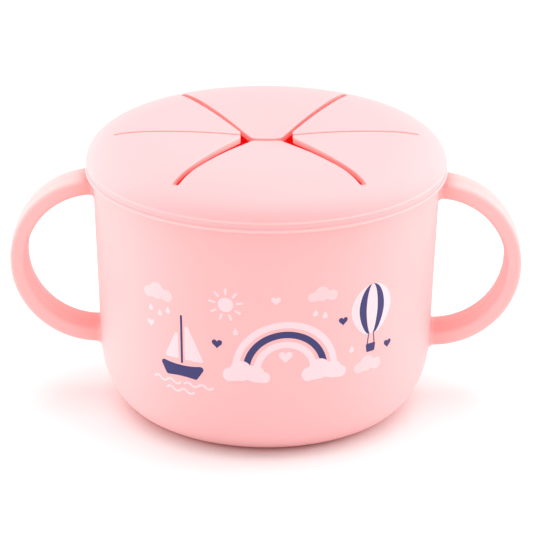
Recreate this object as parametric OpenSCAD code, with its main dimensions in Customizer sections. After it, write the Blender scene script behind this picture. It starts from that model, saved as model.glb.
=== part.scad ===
// Toddler snack container: a soft silicone cup with two loop handles, and a press-on silicone lid.
// Six flaps cut in the lid's shallow dome let a small hand in and keep the snacks from spilling out.
// Z is up, the origin is at the middle of the base, and the two handles lie along X.

/* [Cup] */
// Radius of the flat base
base_r = 30.7; // [28:0.1:32]
// Reach of the rounded bottom corner, outwards
corner_w = 11.1; // [9:0.1:12]
// Height of the rounded bottom corner
corner_h = 18.1; // [12:0.1:24]
// Outside radius of the wall just under the lip
rim_r = 43.2; // [42:0.1:46]
// Height of the cup without its lid
cup_h = 64.6; // [58:0.1:74]
// Thickness of the wall
wall = 2.2; // [1.8:0.1:2.5]
// Thickness of the base
base_t = 3; // [2:0.1:4]
// Radius of the rounded lip round the mouth
lip_r = 1.35; // [1.3:0.05:1.6]

/* [Handles] */
// Radius of a handle's outer edge, seen from the front
handle_r = 21.8; // [18:0.1:23]
// How far a handle's centre lies from the middle of the cup
handle_x = 42.3; // [40:0.1:44]
// Gap between the lid's skirt and the top of a handle
handle_gap = 1.9; // [1:0.1:6]
// Thickness of the strap, from the finger gap outwards
strap_t = 4; // [3:0.1:5]
// Width of the strap, from front to back
strap_w = 10.5; // [8:0.1:14]
// Rounding of the strap's edges
strap_round = 1.4; // [0.6:0.1:1.5]

/* [Lid] */
// How far the lid is turned on the cup, in degrees
lid_turn = 2; // [-15:0.5:15]
// Thickness of the skirt that hangs outside the cup's lip
skirt_t = 1.2; // [0.9:0.05:2]
// How far the skirt reaches down over the lip
skirt_drop = 3.2; // [2.4:0.1:4]
// Height of the band between the dome's edge and the skirt's lower edge
band_h = 2.45; // [2.2:0.05:2.8]
// Depth of the shallow groove round the band
band_groove = 0.4; // [0.1:0.05:0.45]
// Rounding of the skirt's lower edge
skirt_round = 0.5; // [0.3:0.05:0.55]
// Rise of the dome above its edge
dome_h = 7.4; // [6.8:0.1:8]
// How square the dome's shoulder is across the top
dome_p = 8.7; // [6:0.1:10]
// How square the dome's shoulder is down the side
dome_q = 0.6; // [0.5:0.01:0.65]
// Depth of the dip in the middle of the dome
dip_h = 1.25; // [0:0.05:2]
// Radius over which the dip fades out
dip_r = 13; // [10:0.5:16]
// Thickness of the dome's skin
skin_t = 1.7; // [1.4:0.05:2]
// Thickness of the ring that plugs the cup's mouth
plug_t = 1.2; // [1:0.05:1.8]
// How far the plug reaches down below the cup's lip
plug_drop = 4; // [3:0.1:6]
// Gap between the lid and the cup's lip and wall
seat_gap = 0.1; // [0.05:0.01:0.2]

/* [Flaps] */
// Where a slanting slot's middle line crosses the line between the handles, from the lid's middle
slot_x = 4.3; // [4:0.1:6]
// Angle between a slanting slot and the line between the handles
slot_a = 61.4; // [55:0.2:65]
// Width of the four slanting slots
slot_w = 1.75; // [1.2:0.05:2.2]
// Width of the two slits that point at the handles
slit_w = 0.8; // [0.7:0.05:1.2]
// How far the two front slots reach from the lid's middle
front_slot_reach = 40.3; // [36.5:0.1:40.6]
// How far the two back slots reach from the lid's middle
back_slot_reach = 37; // [36.5:0.1:40.6]
// How far the slits reach from the lid's middle
slit_reach = 37.8; // [36.5:0.1:38.4]
// How far the flaps' hinge lines reach from the lid's middle, at their ends
hinge_reach = 33; // [31:0.1:34]
// Gap between the tips of the front and back flaps
tip_gap = 0.7; // [0.4:0.05:1]
// Where the side flaps' blunt tips lie, from the lid's middle
side_tip_x = 6.5; // [6.3:0.1:9]
// Rounding of the front and back flaps' tips
tip_round = 2; // [1:0.1:3]
// Rounding of the side flaps' tips
side_tip_round = 0.6; // [0.3:0.1:0.8]
// How far the front and back flaps sag at rest, in degrees
droop = 2.2; // [0:0.1:3]
// Gap round a flap's rolled root
hinge_gap = 0.25; // [0.2:0.01:0.35]

/* [Hidden] */
$fn = 96;
cup_pink = "#FEC3C4";
handle_pink = "#FEBFC0";
lid_pink = "#FEDCDF";
flap_pink = "#FDD3D6";
// Steps along each kind of curve
corner_steps = 14;
lip_steps = 14;
dome_steps = 26;
round_steps = 6;

// The cup: its corner, lip and inside wall
corner_r = base_r + corner_w;
mouth_r = rim_r - wall;
lip_x = mouth_r + lip_r;
lip_z = cup_h - lip_r;
lip_start = -acos((rim_r - lip_x) / lip_r);

// The lid: its skirt hangs outside the lip and its plug stands inside the mouth
skirt_in_r = lip_x + lip_r + seat_gap;
lid_r = skirt_in_r + skirt_t;
skirt_z = cup_h - skirt_drop;
handle_z = skirt_z - handle_gap - handle_r;
dome_z0 = skirt_z + band_h;
ledge = 0.3;
dome_r = lid_r - 0.05;
band_r = lid_r - band_groove;
band_meets_skirt_a = acos(1 - band_groove / skirt_round);
plug_z = cup_h - plug_drop;
plug_r = inside_r(plug_z) - seat_gap;
plug_in_r = plug_r - plug_t;
plug_round = 0.5;
root_fillet = 0.7;

// The slots' sides, and the hinge lines between the slots' middle lines
slot_half_x = slot_w / 2 / sin(slot_a);
cut_floor_z = under_z(max(front_slot_reach, back_slot_reach)) - root_fillet;
hinge_run = slot_run(hinge_reach);
hinge_end = [slot_x + hinge_run * cos(slot_a), hinge_run * sin(slot_a)];
middle_hinge_y = hinge_end.y;
side_hinge_vec = hinge_end - [hinge_reach, 0];
side_hinge_a = atan2(-side_hinge_vec.x, side_hinge_vec.y);
side_hinge_d = hinge_reach * cos(side_hinge_a);

// Radius of the cup's inside wall at height z
function inside_r(z) = corner_r - wall + (mouth_r - corner_r + wall) * (z - corner_h) / (lip_z - corner_h);
// Length along a slot's middle line, from where it crosses X to distance r from the lid's middle
function slot_run(r) = sqrt(r * r - pow(slot_x * sin(slot_a), 2)) - slot_x * cos(slot_a);
// Height of the dome's top surface at radius r, and its slope there
function dome_z(r) = dome_z0 + dome_h * pow(max(0, 1 - pow(r / dome_r, dome_p)), dome_q)
    - dip_h * exp(-pow(r / dip_r, 2));
function dome_slope(r) = (dome_z(r + 0.05) - dome_z(abs(r - 0.05))) / 0.1;
// Height of the skin's underside at radius r
function under_z(r) = dome_z(r) - skin_t * sqrt(1 + pow(dome_slope(r), 2));
// Points of an elliptic arc
function arc(c, rx, ry, a0, a1, n) =
    [for (i = [0:n]) let (a = a0 + (a1 - a0) * i / n) [c.x + rx * cos(a), c.y + ry * sin(a)]];
// Points of an outline with each corner rounded by its own radius
function unit(v) = v / norm(v);
function rounded(pts, radii) = [for (i = [0:len(pts) - 1]) each corner_points(
    pts[(i + len(pts) - 1) % len(pts)], pts[i], pts[(i + 1) % len(pts)], radii[i])];
function corner_points(before, at, after, r) =
    r == 0 ? [at] :
    let (u = unit(before - at), v = unit(after - at), half = acos(u * v) / 2,
         c = at + unit(u + v) * r / sin(half), start = at + u * r / tan(half) - c,
         a0 = atan2(start.y, start.x), turn = u.x * v.y - u.y * v.x > 0 ? -1 : 1,
         a1 = a0 + turn * (180 - 2 * half))
    arc(c, r, r, a0, a1, round_steps);
// A hinge line's height, and the radius of the rolled root that fills the skin there
function hinge_sag(d) = dome_z(d) - dome_z(hinge_reach);
function hinge_z(d) = dome_z(d) - hinge_sag(d) / 2 - skin_t / 2;
function root_r(d) = (skin_t + hinge_sag(d)) / 2;

// Outer side of the cup, closed to the axis
function cup_outside() = concat(
    [[0, 0]],
    arc([base_r, corner_h], corner_w, corner_h, -90, 0, corner_steps),
    arc([lip_x, lip_z], lip_r, lip_r, lip_start, 180, lip_steps));

// Inner side of the cup, from the mouth down to the axis
function cup_inside() = concat(
    [[corner_r - wall, corner_h]],
    arc([base_r, corner_h], corner_w - wall, corner_h - base_t, 0, -90, corner_steps),
    [[0, base_t]]);

module cup_body() color(cup_pink)
    rotate_extrude() polygon(concat(cup_outside(), cup_inside()));

// A handle is a round strap that ends on the cup's wall
module handle() color(handle_pink) difference() {
    translate([handle_x, 0, handle_z]) rotate([90, 0, 0]) rotate_extrude()
        polygon(rounded(
            [[handle_r - strap_t, -strap_w / 2], [handle_r, -strap_w / 2],
             [handle_r, strap_w / 2], [handle_r - strap_t, strap_w / 2]],
            [strap_round, strap_round, strap_round, strap_round]));
    rotate_extrude() polygon(concat(cup_outside(), [[0, lip_z]]));
}

module left_handle() mirror([1, 0, 0]) handle();

module right_handle() handle();

// Radii at which the dome's curve is drawn, closer together towards its edge
function dome_radii(r_end) = [for (i = [0:dome_steps])
    let (u = 1 - i / dome_steps) r_end * (1 - pow(u, 1.8))];

// Section of the whole lid: dome, band, skirt, the groove that takes the cup's lip, and the plug
function lid_section() = concat(
    [for (r = dome_radii(dome_r)) [r, dome_z(r)]],
    [[dome_r, dome_z0 - ledge], [band_r, dome_z0 - ledge - band_groove]],
    arc([lid_r - skirt_round, skirt_z + skirt_round], skirt_round, skirt_round,
        band_meets_skirt_a, -90, round_steps),
    [[skirt_in_r, skirt_z]],
    arc([lip_x, lip_z], lip_r + seat_gap, lip_r + seat_gap, 0, 180, lip_steps),
    arc([plug_r - plug_round, plug_z + plug_round], plug_round, plug_round, 0, -90, round_steps),
    [[plug_in_r, plug_z]],
    arc([plug_in_r - root_fillet, under_z(plug_in_r - root_fillet) - root_fillet],
        root_fillet, root_fillet, 0, 90, round_steps),
    [for (i = [1:dome_steps]) let (r = (plug_in_r - root_fillet) * (1 - i / dome_steps)) [r, under_z(r)]]);

// The skin of the dome inside the plug, from which the flaps are cut
module skin() {
    r_end = plug_in_r - root_fillet;
    rotate_extrude() polygon(concat(
        [for (i = [0:dome_steps]) let (r = r_end * i / dome_steps) [r, dome_z(r)]],
        [for (i = [0:dome_steps]) let (r = r_end * (1 - i / dome_steps)) [r, under_z(r)]]));
}

// A round bar along a hinge line, which lies at distance d from the lid's middle in direction a
module hinge_bar(a, d, r)
    rotate([0, 0, a]) translate([d, 0, hinge_z(d)]) rotate([90, 0, 0])
        cylinder(r = r, h = 2 * sqrt(pow(hinge_reach, 2) - d * d) + slot_w, center = true);

// What a flap keeps of the skin: all inside its hinge line, and its rolled root on that line
module flap_reach(a, d) {
    rotate([0, 0, a]) translate([d - 2 * lid_r, -lid_r, 0]) cube([2 * lid_r, 2 * lid_r, 2 * cup_h]);
    hinge_bar(a, d, root_r(d));
}

// A flap is the stretch of skin inside its outline, with a rolled root in a hollow of the rim
module flap(a, d, outline, sag = 0) color(flap_pink)
    rotate([0, 0, a]) translate([d, 0, hinge_z(d)]) rotate([0, -sag, 0])
        translate([-d, 0, -hinge_z(d)]) rotate([0, 0, -a])
            intersection() {
                skin();
                linear_extrude(2 * cup_h) polygon(outline);
                flap_reach(a, d);
            }

// Outline of the back flap; the front one is its mirror image
function back_outline() =
    let (x0 = slot_x - slot_half_x, tip_y = tip_gap / 2,
         root_y = middle_hinge_y + root_r(middle_hinge_y),
         tip_x = x0 + tip_y / tan(slot_a), root_x = x0 + root_y / tan(slot_a))
    rounded([[-tip_x, tip_y], [tip_x, tip_y], [root_x, root_y], [-root_x, root_y]],
            [tip_round, tip_round, 0, 0]);

// Outline of the flap at the right and back; the other three side flaps are its mirror images
function side_outline() =
    let (x0 = slot_x + slot_half_x, n = [cos(side_hinge_a), sin(side_hinge_a)],
         root_d = side_hinge_d + root_r(side_hinge_d), slit_y = slit_w / 2,
         run = (root_d - n.x * x0) / (n.x * cos(slot_a) + n.y * sin(slot_a)))
    rounded([[side_tip_x, slit_y], [(root_d - n.y * slit_y) / n.x, slit_y],
             [x0 + run * cos(slot_a), run * sin(slot_a)],
             [side_tip_x, (side_tip_x - x0) * tan(slot_a)]],
            [side_tip_round, 0, 0, side_tip_round]);

module middle_flap() flap(90, middle_hinge_y, back_outline(), droop);

module side_flap() flap(side_hinge_a, side_hinge_d, side_outline());

// One slot from the lid's middle outwards, with a round end
module slot(width, run) {
    translate([0, -width / 2]) square([run, width]);
    translate([run, 0]) circle(d = width);
}

// A slot beside the front or back flap, which reaches to distance r from the lid's middle
module slanting_slot(r)
    translate([slot_x, 0]) rotate(slot_a) slot(slot_w, slot_run(r - slot_w / 2));

// The lid without its flaps: the dome's rim with its slots, the band, the skirt and the plug
module rim() color(lid_pink) difference() {
    rotate_extrude() polygon(lid_section());
    linear_extrude(2 * cup_h) polygon([
        [hinge_reach, 0], hinge_end, [-hinge_end.x, hinge_end.y],
        [-hinge_reach, 0], -hinge_end, [hinge_end.x, -hinge_end.y]]);
    translate([0, 0, cut_floor_z]) linear_extrude(cup_h) for (side = [0, 1]) mirror([side, 0]) {
        slanting_slot(back_slot_reach);
        mirror([0, 1]) slanting_slot(front_slot_reach);
        slot(slit_w, slit_reach - slit_w / 2);
    }
    for (a = [90, 270])
        hinge_bar(a, middle_hinge_y, root_r(middle_hinge_y) + hinge_gap);
    for (a = [side_hinge_a, 180 - side_hinge_a, 180 + side_hinge_a, -side_hinge_a])
        hinge_bar(a, side_hinge_d, root_r(side_hinge_d) + hinge_gap);
}

module lid_rim() rotate([0, 0, lid_turn]) rim();

module back_flap() rotate([0, 0, lid_turn]) middle_flap();

module front_flap() rotate([0, 0, lid_turn]) mirror([0, 1, 0]) middle_flap();

module right_back_flap() rotate([0, 0, lid_turn]) side_flap();

module right_front_flap() rotate([0, 0, lid_turn]) mirror([0, 1, 0]) side_flap();

module left_back_flap() rotate([0, 0, lid_turn]) mirror([1, 0, 0]) side_flap();

module left_front_flap() rotate([0, 0, lid_turn + 180]) side_flap();

cup_body();
left_handle();
right_handle();
lid_rim();
front_flap();
back_flap();
left_front_flap();
left_back_flap();
right_front_flap();
right_back_flap();
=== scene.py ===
"""Looks of a toddler snack container: a soft silicone cup with two loop handles and a press-on lid.

Sizes are metres, written as millimetres times MM. Z is up, the origin is at the middle of the
base, the handles lie along X and the front of the cup faces -Y. The lid's shapes are worked out
in its own plan, in which the slits lie on X, and then turned on the cup by LidShape.turn.
"""

import copy
import logging
import math
from dataclasses import dataclass, field
from enum import Enum
from typing import Callable, Optional

import bmesh
import bpy
import numpy as np
from mathutils import Matrix, Vector
from mathutils.geometry import delaunay_2d_cdt


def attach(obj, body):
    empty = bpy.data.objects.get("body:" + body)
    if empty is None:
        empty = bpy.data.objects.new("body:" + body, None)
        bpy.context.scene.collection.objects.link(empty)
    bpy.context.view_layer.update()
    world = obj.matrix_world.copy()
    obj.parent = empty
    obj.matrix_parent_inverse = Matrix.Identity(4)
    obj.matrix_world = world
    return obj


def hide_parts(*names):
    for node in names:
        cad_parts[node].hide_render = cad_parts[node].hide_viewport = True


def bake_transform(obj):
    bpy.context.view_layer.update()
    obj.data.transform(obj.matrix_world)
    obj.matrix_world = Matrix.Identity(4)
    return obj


MM = 0.001
IMAGE_PIXELS = 533
LOG = logging.getLogger("snack_container")

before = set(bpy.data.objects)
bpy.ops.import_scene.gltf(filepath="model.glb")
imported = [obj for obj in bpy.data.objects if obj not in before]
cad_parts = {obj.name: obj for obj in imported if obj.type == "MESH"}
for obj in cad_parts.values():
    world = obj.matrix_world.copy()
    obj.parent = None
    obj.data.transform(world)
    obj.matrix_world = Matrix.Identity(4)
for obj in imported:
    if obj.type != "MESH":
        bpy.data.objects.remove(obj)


class Body(str, Enum):
    """Bodies of the frame that are not flaps."""

    CUP = "cup"
    LID = "lid"


class Slot(str, Enum):
    """Material slots of the record."""

    CUP = "cup_silicone"
    LID = "lid_silicone"


class Paint(int, Enum):
    """Which of a piece's finishes a face takes: the plain one, the one with a painted glow, or a paler one that
    is a painted highlight. Each of them also has painted shade in creases.
    """

    SKIN = 0
    PAINTED_GLOW = 1
    PAINTED_HIGHLIGHT = 2


def arc(centre: tuple, radii: tuple, start: float, end: float, steps: int) -> np.ndarray:
    """Points along an elliptic arc.

    Args:
        centre: the ellipse's middle.
        radii: its two half axes.
        start: first angle in degrees.
        end: last angle in degrees.
        steps: number of stretches between the points.

    Returns:
        An array of steps + 1 points.
    """
    angles = np.radians(np.linspace(start, end, steps + 1))
    return np.column_stack((centre[0] + radii[0] * np.cos(angles),
                            centre[1] + radii[1] * np.sin(angles)))


def bend(before: np.ndarray, at: np.ndarray, after: np.ndarray, radius: float,
         steps: int) -> tuple[np.ndarray, np.ndarray]:
    """Rounds one corner of a path.

    Args:
        before: the corner before.
        at: the corner to round.
        after: the corner after.
        radius: the arc's radius.
        steps: number of stretches in the arc.

    Returns:
        The arc's points, and the unit vectors at them that point to the path's right.
    """
    u, v = (before - at) / np.hypot(*(before - at)), (after - at) / np.hypot(*(after - at))
    half = math.acos(float(u @ v)) / 2
    centre = at + (u + v) / np.hypot(*(u + v)) * radius / math.sin(half)
    start = at + u * radius / math.tan(half) - centre
    turns_left = -(u[0] * v[1] - u[1] * v[0]) > 0
    sweep = math.pi - 2 * half
    first = math.atan2(start[1], start[0])
    angles = first + (sweep if turns_left else -sweep) * np.linspace(0, 1, steps + 1)
    out = np.column_stack((np.cos(angles), np.sin(angles)))
    return centre + radius * out, out if turns_left else -out


def direction(degrees: float) -> np.ndarray:
    """Unit vector in plan at an angle from X."""
    return np.array([math.cos(math.radians(degrees)), math.sin(math.radians(degrees))])


def inside(points: np.ndarray, outline: np.ndarray) -> np.ndarray:
    """Tells which points lie inside a closed outline.

    Args:
        points: points in plan.
        outline: the outline's corners in order.

    Returns:
        One truth value for each point.
    """
    x, y = points[:, :1], points[:, 1:]
    ax, ay = outline[:, 0], outline[:, 1]
    bx, by = np.roll(ax, -1), np.roll(ay, -1)
    rise = np.where(by == ay, 1.0, by - ay)
    crosses = ((ay > y) != (by > y)) & (x < (bx - ax) * (y - ay) / rise + ax)
    return crosses.sum(axis=1) % 2 == 1


def clearance(point: np.ndarray, starts: np.ndarray, runs: np.ndarray) -> float:
    """Distance from a point to the nearest of some straight sides.

    Args:
        point: the point in plan.
        starts: where each side starts.
        runs: the step from its start to its end.

    Returns:
        The distance.
    """
    away = point - starts
    share = np.clip((away * runs).sum(axis=1) / (runs ** 2).sum(axis=1), 0, 1)
    return float(np.hypot(*(away - share[:, None] * runs).T).min())


def fill_plan(outer: np.ndarray, hole: Optional[np.ndarray], pitch: float,
              margin: float) -> tuple[np.ndarray, np.ndarray]:
    """Fills an outline with triangles of an even size.

    Args:
        outer: corners of the outline in order.
        hole: corners of a hole in it, or None.
        pitch: distance between the points added inside.
        margin: least distance from those points to the outlines.

    Returns:
        The points, which start with the outline's and the hole's own, and the triangles as
        rows of three of their numbers.
    """
    rims = [outer] if hole is None else [outer, hole]
    low, high = outer.min(axis=0), outer.max(axis=0)
    rows = int((high[1] - low[1]) / (pitch * math.sqrt(0.75))) + 1
    columns = int((high[0] - low[0]) / pitch) + 2
    grid = np.array([[low[0] + pitch * (i + 0.5 * (j % 2)), low[1] + pitch * math.sqrt(0.75) * (j + 0.5)]
                     for j in range(rows) for i in range(columns)])
    keep = inside(grid, outer)
    if hole is not None:
        keep &= ~inside(grid, hole)
    grid = grid[keep]
    edge = np.vstack(rims)
    runs = np.vstack([np.roll(rim, -1, axis=0) - rim for rim in rims])
    free = [p for p in grid if clearance(p, edge, runs) > margin]
    points = np.vstack([edge, *free])
    edges, first = [], 0
    for rim in rims:
        edges += [(first + i, first + (i + 1) % len(rim)) for i in range(len(rim))]
        first += len(rim)
    found, _, faces, source, _, _ = delaunay_2d_cdt(
        [Vector(p / MM) for p in points], edges, [], 0, 1e-7)
    if len(found) != len(points):
        raise ValueError("the plan's points meet each other")
    triangles = np.array([[source[i][0] for i in face] for face in faces])
    a, b, c = (points[triangles[:, i]] for i in range(3))
    sizes = np.abs((b - a)[:, 0] * (c - a)[:, 1] - (b - a)[:, 1] * (c - a)[:, 0])
    middles = (a + b + c) / 3
    sizes[~inside(middles, outer)] = 0
    if hole is not None:
        sizes[inside(middles, hole)] = 0
    walls = {frozenset(e) for e in edges}
    neighbours: dict = {}
    for number, corners in enumerate(triangles.tolist()):
        for i in range(3):
            neighbours.setdefault(frozenset((corners[i], corners[i - 1])), []).append(number)
    waiting = [int(np.argmax(sizes))]
    reached = set(waiting)
    while waiting:
        corners = triangles[waiting.pop()].tolist()
        for i in range(3):
            side = frozenset((corners[i], corners[i - 1]))
            if side not in walls:
                fresh = [n for n in neighbours[side] if n not in reached]
                reached.update(fresh)
                waiting += fresh
    return points, triangles[sorted(reached)]


class Draft:
    """Collects the points and faces of one piece and makes its object."""

    def __init__(self) -> None:
        """Starts with nothing in it."""
        self.points: list[np.ndarray] = []
        self.faces: list[list[int]] = []
        self.paints: list[int] = []
        self.count = 0

    def add(self, points: np.ndarray) -> np.ndarray:
        """Adds points and returns their numbers."""
        points = np.atleast_2d(points)
        self.points.append(points)
        self.count += len(points)
        return np.arange(self.count - len(points), self.count)

    def face(self, corners: list, paint: int = Paint.SKIN) -> None:
        """Adds one face."""
        self.faces.append([int(c) for c in corners])
        self.paints.append(int(paint))

    def strip(self, row: np.ndarray, other: np.ndarray, closed: bool = False,
              paint: int = Paint.SKIN) -> None:
        """Joins two rows of points with faces.

        Args:
            row: numbers of the first row's points.
            other: numbers of the second row's points, as many as the first.
            closed: whether the rows run all the way round.
            paint: the finish of the faces.
        """
        last = len(row) if closed else len(row) - 1
        for i in range(last):
            j = (i + 1) % len(row)
            self.face([row[i], row[j], other[j], other[i]], paint)

    def fan(self, row: np.ndarray, centre: int, paint: Paint) -> None:
        """Closes a round row of points towards one point."""
        for i in range(len(row)):
            self.face([row[i], row[(i + 1) % len(row)], centre], paint)

    def revolve(self, profile: np.ndarray, segments: int, paints: list) -> None:
        """Turns a profile of radii and heights about Z.

        Args:
            profile: radii and heights, where a first or last radius of 0 closes on the axis.
            segments: number of steps in a full turn.
            paints: the finish of each stretch of the profile.
        """
        turn = np.arange(segments) * 2 * math.pi / segments
        rows = []
        for radius, height in profile:
            if radius < 1e-9:
                rows.append(self.add(np.array([0.0, 0.0, height])))
            else:
                rows.append(self.add(np.column_stack(
                    (radius * np.cos(turn), radius * np.sin(turn), np.full(segments, height)))))
        for row, other, paint in zip(rows, rows[1:], paints):
            if len(row) == 1:
                self.fan(other, row[0], paint)
            elif len(other) == 1:
                self.fan(row, other[0], paint)
            else:
                self.strip(row, other, closed=True, paint=paint)

    def build(self, name: str, finishes: list, crease: float = 50.0) -> bpy.types.Object:
        """Makes the object.

        Args:
            name: the object's name.
            finishes: its materials, in the order of Paint.
            crease: edges that turn by more than this many degrees stay sharp.

        Returns:
            The new object, linked to the scene.
        """
        mesh = bpy.data.meshes.new(name)
        mesh.from_pydata(np.vstack(self.points).tolist(), [], self.faces)
        for finish in finishes:
            mesh.materials.append(finish)
        mesh.polygons.foreach_set("material_index", self.paints)
        work = bmesh.new()
        work.from_mesh(mesh)
        bmesh.ops.recalc_face_normals(work, faces=work.faces)
        work.to_mesh(mesh)
        work.free()
        mesh.shade_smooth()
        mesh.set_sharp_from_angle(angle=math.radians(crease))
        made = bpy.data.objects.new(name, mesh)
        bpy.context.scene.collection.objects.link(made)
        LOG.info("%s: %d points, %d faces", name, len(mesh.vertices), len(mesh.polygons))
        return made


def add_node(tree: bpy.types.NodeTree, kind: str, settings: Optional[dict] = None,
             **inputs: object) -> bpy.types.Node:
    """Adds a node with its settings, and fills or links its inputs.

    Args:
        tree: the tree that gets the node.
        kind: the node's type.
        settings: its properties by name.
        inputs: its sockets by name, with _ for a space, or by i and a number. Each gets a value,
            or an output socket to link.

    Returns:
        The node.
    """
    node = tree.nodes.new(kind)
    for key, value in (settings or {}).items():
        setattr(node, key, value)
    for key, value in inputs.items():
        socket = node.inputs[int(key[1:]) if key[1:].isdigit() else key.replace("_", " ")]
        if isinstance(value, bpy.types.NodeSocket):
            tree.links.new(value, socket)
        else:
            socket.default_value = value
    return node


def linear(colour: str) -> tuple:
    """Turns an sRGB hex colour to linear red, green, blue and alpha."""
    levels = [int(colour[i:i + 2], 16) / 255 for i in (1, 3, 5)]
    return (*(c / 12.92 if c <= 0.04045 else ((c + 0.055) / 1.055) ** 2.4 for c in levels), 1.0)


@dataclass(frozen=True)
class MouldedSilicone:
    """Liquid silicone rubber, moulded in a tool with a fine matte texture.

    It gives the eye an even, satin surface without a hard highlight. Its colour is mixed towards a
    deeper, redder painted shade where near surfaces block the sky, as in slots, creases and corners.
    Light that has passed through it is given as a faint painted glow, an emission: where a slot
    blocks the sky, and all over a wall that is lit from behind.
    """

    name: str
    colour: str
    # The colour towards which slots, creases and corners are mixed: a painted shade.
    painted_shade_colour: str
    roughness: float = 0.52
    ior: float = 1.41
    sheen: float = 0.08
    # Painted glow: an emission in this colour stands in for light that has passed through the silicone, at one
    # strength where the sky is blocked and another where it is open.
    painted_glow_colour: str = "#FF0C08"
    painted_glow_shut: float = 0.0
    painted_glow_open: float = 0.0
    # How far away something may be and still block the sky, and the shares of open sky between which the colour
    # turns from the painted shade to plain.
    reach: float = 2.5 * MM
    shut_below: float = 0.1
    open_above: float = 0.65
    mottle: float = 18 * MM
    # The blasted mould leaves grains of about 0.06 mm. They are drawn this coarse so that they show.
    grain: float = 0.45 * MM
    grain_height: float = 0.012 * MM

    def make(self) -> bpy.types.Material:
        """Makes the material."""
        material = bpy.data.materials.new(self.name)
        material.use_nodes = True
        material.diffuse_color = linear(self.colour)
        tree = material.node_tree
        tree.nodes.clear()
        place = add_node(tree, "ShaderNodeTexCoord").outputs["Object"]
        cloud = add_node(tree, "ShaderNodeTexNoise", Vector=place, Scale=1 / self.mottle, Detail=2.0)
        tint = add_node(tree, "ShaderNodeMapRange", Value=cloud.outputs["Fac"],
                        To_Min=0.975, To_Max=1.0)
        plain = add_node(tree, "ShaderNodeMix", {"data_type": "RGBA", "blend_type": "MULTIPLY"},
                         i0=1.0, i6=linear(self.colour), i7=tint.outputs["Result"])
        # Painted shade: the colour is mixed towards painted_shade_colour where near surfaces block the sky.
        open_sky = add_node(tree, "ShaderNodeAmbientOcclusion", {"samples": 8}, Distance=self.reach)
        painted_shade_mask = add_node(tree, "ShaderNodeMapRange", Value=open_sky.outputs["AO"],
                        From_Min=self.shut_below, From_Max=self.open_above,
                        To_Min=1.0, To_Max=0.0)
        colour = add_node(tree, "ShaderNodeMix", {"data_type": "RGBA"}, i0=painted_shade_mask.outputs["Result"],
                          i6=plain.outputs[2], i7=linear(self.painted_shade_colour))
        # Painted glow: its strength follows the painted shade mask.
        glow = add_node(tree, "ShaderNodeMapRange", Value=painted_shade_mask.outputs["Result"],
                        To_Min=self.painted_glow_open, To_Max=self.painted_glow_shut)
        grain = add_node(tree, "ShaderNodeTexNoise", Vector=place, Scale=1 / self.grain, Detail=1.0)
        bump = add_node(tree, "ShaderNodeBump", Height=grain.outputs["Fac"], Strength=1.0,
                        Distance=self.grain_height)
        rough = add_node(tree, "ShaderNodeMapRange", Value=cloud.outputs["Fac"],
                         To_Min=self.roughness - 0.04, To_Max=self.roughness + 0.04)
        shader = add_node(tree, "ShaderNodeBsdfPrincipled", Base_Color=colour.outputs[2],
                          Roughness=rough.outputs["Result"], Normal=bump.outputs["Normal"],
                          IOR=self.ior, Sheen_Weight=self.sheen, Sheen_Roughness=0.5,
                          Emission_Color=linear(self.painted_glow_colour),
                          Emission_Strength=glow.outputs["Result"])
        add_node(tree, "ShaderNodeOutputMaterial", Surface=shader.outputs["BSDF"])
        return material


@dataclass(frozen=True)
class SiliconeInk:
    """Silicone ink, pad printed and cured: a thin opaque film, a little smoother than the cup.

    Small differences of the film's thickness show as a faint mottle.
    """

    name: str
    colour: str
    roughness: float = 0.45
    ior: float = 1.41
    mottle: float = 1.6 * MM
    depth: float = 0.03

    def make(self) -> bpy.types.Material:
        """Makes the material."""
        material = bpy.data.materials.new(self.name)
        material.use_nodes = True
        material.diffuse_color = linear(self.colour)
        tree = material.node_tree
        tree.nodes.clear()
        place = add_node(tree, "ShaderNodeTexCoord").outputs["Object"]
        film = add_node(tree, "ShaderNodeTexNoise", Vector=place, Scale=1 / self.mottle, Detail=3.0)
        tint = add_node(tree, "ShaderNodeMapRange", Value=film.outputs["Fac"],
                        To_Min=1 - self.depth, To_Max=1.0)
        colour = add_node(tree, "ShaderNodeMix", {"data_type": "RGBA", "blend_type": "MULTIPLY"},
                          i0=1.0, i6=linear(self.colour), i7=tint.outputs["Result"])
        shader = add_node(tree, "ShaderNodeBsdfPrincipled", Base_Color=colour.outputs[2],
                          Roughness=self.roughness, IOR=self.ior)
        add_node(tree, "ShaderNodeOutputMaterial", Surface=shader.outputs["BSDF"])
        return material


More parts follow.
